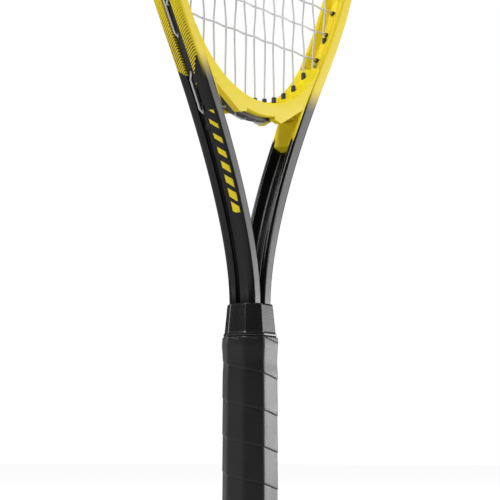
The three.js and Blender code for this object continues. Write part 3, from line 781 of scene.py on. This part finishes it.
ferrule_clear = 3.2
mouth_clear = 0.4
runs = [(-1, main) for main in reversed(mains)] + [(1, main) for main in mains]
main_points = []
for order, (side, main) in enumerate(runs):
    x = side * main["x"]
    bottom, top = main["bottom"], main["top"]
    straight_to = bottom["mouth"] + (ferrule_clear if main is ferrule_main else mouth_clear)
    keys = [(bottom["exit"], 0), (straight_to, 0)]
    for number, cross in enumerate(crosses):
        if straight_to < cross["z"] < top["mouth"]:
            keys.append((cross["z"], weave * (1 if (order + number) % 2 == 0 else -1)))
    keys += [(top["mouth"] - 0.5, 0), (top["exit"], 0)]
    climb = [Vector((x, y, z)) for z, y in woven(keys)]
    goes_down = order % 2 == 0
    main_points += climb[::-1] if goes_down else climb
    if order == len(runs) - 1:
        break
    next_side, next_main = runs[order + 1]
    if not goes_down:
        main_points += along_channel(side * top["station"], next_side * next_main["top"]["station"], lane)
    elif "station" in bottom:
        next_station = next_side * next_main["bottom"]["station"]
        main_points += along_channel(side * bottom["station"], next_station, lane)
    else:
        for share in (0.2, 0.4, 0.6, 0.8):
            between_x = x + (next_side * next_main["x"] - x) * share
            main_points.append(Vector((between_x, lane, underside(between_x, bridge_string_out))))

cross_points = []
for number, cross in enumerate(crosses):
    start = 1 if number % 2 == 0 else -1
    end = cross["end"]
    keys = [(-end["exit"], 0), (-end["mouth"], 0)]
    for order, (side, main) in enumerate(runs):
        if main["bottom"]["mouth"] < cross["z"] < main["top"]["mouth"]:
            keys.append((side * main["x"], weave * (-1 if (order + number) % 2 == 0 else 1)))
    keys += [(end["mouth"], 0), (end["exit"], 0)]
    run = [Vector((x, y, cross["z"])) for x, y in woven(keys)]
    cross_points += run[::-1] if start > 0 else run
    if number < len(crosses) - 1:
        next_end = crosses[number + 1]["end"]
        cross_points += along_channel(-start * end["station"], -start * next_end["station"], -lane)

string_nylon = Finish("string_nylon")
fibre = string_nylon.place.noise(1500, 3)
string_nylon.set(Base_Color=fibre.mix((0.58, 0.59, 0.62), (0.7, 0.71, 0.73)))
string_nylon.set(Roughness=0.3 + 0.12 * fibre, Normal=fibre.bump(0.15, 0.0002), Coat_Weight=0.2)
string_piece("mains", main_points, string_nylon, "main_string")
string_piece("crosses", cross_points, string_nylon, "cross_string")

# ------------------------------------------------------------------ clear ferrules
# A short ring of clear plastic on each side guards the string where a main leaves the
# tube beside the yoke's upper end. It stands on the barrel, which ends lower there.
clear_plastic = Finish("clear_plastic")
haze = clear_plastic.place.noise(800, 2)
clear_plastic.set(Base_Color=haze.mix((0.80, 0.82, 0.84), (0.9, 0.91, 0.92)), Transmission_Weight=0.35)
clear_plastic.set(Roughness=0.12 + 0.1 * haze)
for side, name in ((-1, "left"), (1, "right")):
    low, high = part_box("string_ferrule_" + name)
    ring = bmesh.new()
    profile = [ring.verts.new(Vector((x * mm, 0, z))) for x, z in (
        (1.2, low.z), (1.6, low.z), (1.62, (low.z + high.z) / 2), (1.5, high.z), (1.2, high.z),
    )]
    edges = [ring.edges.new((profile[i], profile[(i + 1) % 5])) for i in range(5)]
    bmesh.ops.spin(
        ring, geom=profile + edges, cent=(0, 0, 0), axis=(0, 0, 1),
        angle=2 * math.pi, steps=28, use_merge=True,
    )
    bmesh.ops.remove_doubles(ring, verts=ring.verts, dist=0.000005)
    bmesh.ops.translate(ring, vec=((low.x + high.x) / 2, 0, 0), verts=ring.verts)
    bmesh.ops.recalc_face_normals(ring, faces=ring.faces)
    piece("clear_ring_" + name, ring, clear_plastic, ["string_ferrule_" + name])

# ------------------------------------------------------------------ yoke rivets
# One black blind rivet through each shaft's web, with a domed head in the channel.
rivet_metal = Finish("black_rivet")
scratches = rivet_metal.place.noise(1400, 2)
rivet_metal.set(Base_Color=scratches.mix((0.012, 0.012, 0.013), (0.03, 0.03, 0.032)), Metallic=0.6)
rivet_metal.set(Roughness=0.28 + 0.15 * scratches)
rivet_height = 316.5
rivet_station = station_where(2, rivet_height, 0, 2, 3)
for side, name in ((-1, "left"), (1, "right")):
    stud = bmesh.new()
    outline = [
        (0, -4.2), (1.5, -4.2), (1.5, 3.45), (2.4, 3.45), (2.4, 3.7), (2.0, 4.15), (1.1, 4.35), (0, 4.4),
    ]
    profile = [stud.verts.new((x * mm, 0, z * mm)) for x, z in outline]
    edges = [stud.edges.new(pair) for pair in zip(profile, profile[1:])]
    bmesh.ops.spin(
        stud, geom=profile + edges, cent=(0, 0, 0), axis=(0, 0, 1),
        angle=2 * math.pi, steps=24, use_merge=True,
    )
    bmesh.ops.remove_doubles(stud, verts=stud.verts, dist=0.000005)
    middle = rim(side * rivet_station)
    outward = rim(side * rivet_station, 1) - middle
    turn = outward.to_track_quat("Z", "Y").to_matrix().to_4x4()
    bmesh.ops.transform(stud, matrix=Matrix.Translation(middle * mm) @ turn, verts=stud.verts)
    bmesh.ops.recalc_face_normals(stud, faces=stud.faces)
    piece("rivet_" + name, stud, rivet_metal, ["yoke_rivet_" + name])

# ------------------------------------------------------------------ butt cap
# An eight-sided moulded cap, flared at its end so that the hand doesn't slip off, with
# a plain round plug set into its flat end.
grip_half = 17.5
grip_flat = 16.2
grip_corner_cut = 9.1


def eight_sided(levels, corner_round):
    """A solid of eight flats through (half width, height) levels in mm, from the first up."""
    shape = bmesh.new()
    bmesh.ops.create_grid(shape, x_segments=1, y_segments=1, size=grip_half * mm)
    bmesh.ops.scale(shape, vec=(1, grip_flat / grip_half, 1), verts=shape.verts)
    for offset, segments in ((grip_corner_cut, 1), (corner_round, 3)):
        bmesh.ops.bevel(
            shape, geom=shape.verts[:], offset=offset * mm, offset_type="OFFSET", segments=segments,
            profile=0.5, affect="VERTICES", material=-1,
        )
    top = shape.faces[:]
    size = grip_half
    place = 0
    for number, (half, z) in enumerate(levels):
        if number:
            grown = bmesh.ops.extrude_face_region(shape, geom=top)["geom"]
            bmesh.ops.delete(shape, geom=[face for face in top if number > 1], context="FACES")
            top = [item for item in grown if isinstance(item, bmesh.types.BMFace)]
        verts = list({vert for face in top for vert in face.verts})
        bmesh.ops.translate(shape, vec=(0, 0, (z - place) * mm), verts=verts)
        bmesh.ops.scale(shape, vec=(half / size, half / size, 1), verts=verts)
        size, place = half, z
    bmesh.ops.recalc_face_normals(shape, faces=shape.faces)
    return shape


cap_plastic = Finish("cap_plastic")
cap_grain = cap_plastic.place.noise(900, 4)
cap_plastic.set(Base_Color=cap_grain.mix((0.012, 0.012, 0.013), (0.022, 0.022, 0.024)))
cap_plastic.set(Roughness=0.42 + 0.16 * cap_grain, Normal=cap_grain.bump(0.2, 0.0003))
cap = eight_sided([
    (11, 1.0), (11.3, 0.7), (11.3, 0), (18.6, 0), (19.4, 0.35), (19.85, 1.1), (20, 2.2), (20, 5.6),
    (19.7, 6.6), (18.9, 7.8), (18.2, 8.7), (17.4, 9), (16.3, 9), (16.2, 24.6), (15.8, 25),
], 1.6)
piece("end_cap", cap, cap_plastic, ["butt_cap"])

# ------------------------------------------------------------------ grip wrap
# One long strip of foam-backed synthetic leather, wound up the handle from the cap in
# a helix. Each turn lies on the upper edge of the turn below.
wrap_pitch = 23.7
wrap_overlap = 2.2
wrap_lip = 0.32
wrap_low = 9.3
wrap_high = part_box("grip_wrap")[1].z / mm
seam_angle = math.atan2(-16.2, 8.75)
seam_height = 155.2
around = 128
across_steps = 14
cap_swell = 1.0
cap_swell_height = 22
doubled_swell = 0.45
doubled_height = 178
waist_sink = 0.3
waist_height = 166
swell_spread = 4
corner_facing = 0.7471
corner_far = 17.43
facets = [
    (0, grip_half), (math.pi / 2, grip_flat),
    (corner_facing, corner_far), (math.pi - corner_facing, corner_far),
]
corner_sharpness = 34


def handle_radius(angle):
    """The distance in mm from the axis to the softened eight-sided outline."""
    total = sum((abs(math.cos(angle - facing)) / far) ** corner_sharpness for facing, far in facets)
    return total ** (-1 / corner_sharpness)


def swelling(z):
    """How far the wrap stands out over the cap's sleeve, at its doubled end and above it."""
    over_cap = cap_swell * max(0, 1 - (z - wrap_low) / cap_swell_height)
    doubled = doubled_swell * math.exp(-((z - doubled_height) / swell_spread) ** 2)
    waist = -waist_sink * math.exp(-((z - waist_height) / swell_spread) ** 2)
    return over_cap + doubled + waist


turns = (wrap_high - wrap_low) / wrap_pitch + 2.5
first_turn = -1.5
turns_below_seam = 6
lap_crowding = 1.6
lap_edge = 0.9
lap_edge_drop = 0.3
wrap_sink = 0.25
wrap = bmesh.new()
bmesh.ops.create_grid(wrap, x_segments=round(turns * around), y_segments=across_steps, size=0.5)
for vert in wrap.verts:
    turned = (vert.co.x + 0.5) * turns + first_turn
    width = (vert.co.y + 0.5) ** lap_crowding * (wrap_pitch + wrap_overlap)
    angle = seam_angle - turned * 2 * math.pi
    z = seam_height - turns_below_seam * wrap_pitch + turned * wrap_pitch + width
    edge_drop = lap_edge_drop * max(0, 1 - width / lap_edge) ** 2
    lift = wrap_lip * (1 - width / wrap_pitch) - edge_drop
    radius = handle_radius(angle) - wrap_sink + lift + swelling(z)
    vert.co = Vector((radius * math.cos(angle), radius * math.sin(angle), z)) * mm
for height_limit, normal in ((wrap_low, -1), (wrap_high, 1)):
    bmesh.ops.bisect_plane(
        wrap, geom=wrap.verts[:] + wrap.edges[:] + wrap.faces[:], plane_co=(0, 0, height_limit * mm),
        plane_no=(0, 0, normal), clear_outer=True,
    )
bmesh.ops.recalc_face_normals(wrap, faces=wrap.faces)

leather = Finish("synthetic_leather")
pebbles = leather.place.node(
    "TexVoronoi", {"feature": "SMOOTH_F1"}, {"Vector": leather.place, "Scale": 1400},
)
pores = leather.place.noise(2500, 3)
patches = leather.place.noise(55, 4)
leather.set(Base_Color=patches.mix((0.006, 0.006, 0.0066), (0.010, 0.010, 0.0108)))
leather.set(Roughness=0.28 + 0.12 * patches + 0.06 * pores, Specular_IOR_Level=0.42)
leather.set(Normal=pebbles.bump(0.16, 0.0003, pores.bump(0.1, 0.0002)))
leather.set(Sheen_Weight=0.15, Sheen_Roughness=0.4)
grip = piece("wound_grip", wrap, leather, ["grip_wrap"])
body = grip.modifiers.new("strip_thickness", "SOLIDIFY")
body.thickness = 0.9 * mm
body.offset = -1

# ------------------------------------------------------------------ collar
# A black rubber sleeve rolled down over the wrap's upper end. It tapers up to the
# shafts and ends below in a rolled lip.
rubber = Finish("collar_rubber")
rubber_grain = rubber.place.noise(1300, 3)
rubber_tone = rubber.place.noise(60, 3)
rubber.set(Base_Color=rubber_tone.mix((0.006, 0.006, 0.0066), (0.009, 0.009, 0.0098)))
rubber.set(Roughness=0.2 + 0.12 * rubber_grain, Specular_IOR_Level=0.6)
rubber.set(Normal=rubber_grain.bump(0.1, 0.0002))
collar = eight_sided([
    (15.6, 183), (16.5, 183), (16.8, 183.4), (16.9, 184.1), (16.8, 184.9), (16.35, 185.4), (16.15, 186.3),
    (14.5, 203.2), (14.25, 204.1), (13.8, 204.5), (13.2, 204.5),
], 0.9)
piece("rubber_collar", collar, rubber, ["grip_collar"])

# ------------------------------------------------------------------ inside the handle
# Two hard foam shells over the shafts, the staples that hold the cap to them and the
# tape that ties down the wrap's end. They keep their plain shapes under the wrap.
foam = Finish("handle_foam")
cells = foam.place.node("TexVoronoi", {}, {"Vector": foam.place, "Scale": 900})
foam.set(Base_Color=cells.smooth(0, 0.6).mix((0.30, 0.25, 0.16), (0.40, 0.34, 0.23)), Roughness=0.85)
foam.set(Normal=cells.bump(0.3, 0.0004))
staple_steel = Finish("staple_steel")
drawn = staple_steel.place.noise(1200, 2)
staple_steel.set(Base_Color=drawn.mix((0.52, 0.52, 0.53), (0.64, 0.64, 0.65)), Metallic=1.0)
staple_steel.set(Roughness=0.3 + 0.15 * drawn)
tape = Finish("black_tape")
tape_grain = tape.place.noise(1600, 2)
tape.set(Base_Color=tape_grain.mix((0.012, 0.012, 0.012), (0.02, 0.02, 0.02)))
tape.set(Roughness=0.45 + 0.15 * tape_grain)
for node, finish in (
    ("pallet_front", foam), ("pallet_back", foam),
    ("butt_staple_front", staple_steel), ("butt_staple_back", staple_steel), ("finishing_tape", tape),
):
    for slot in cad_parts[node].material_slots:
        slot.material = finish.material
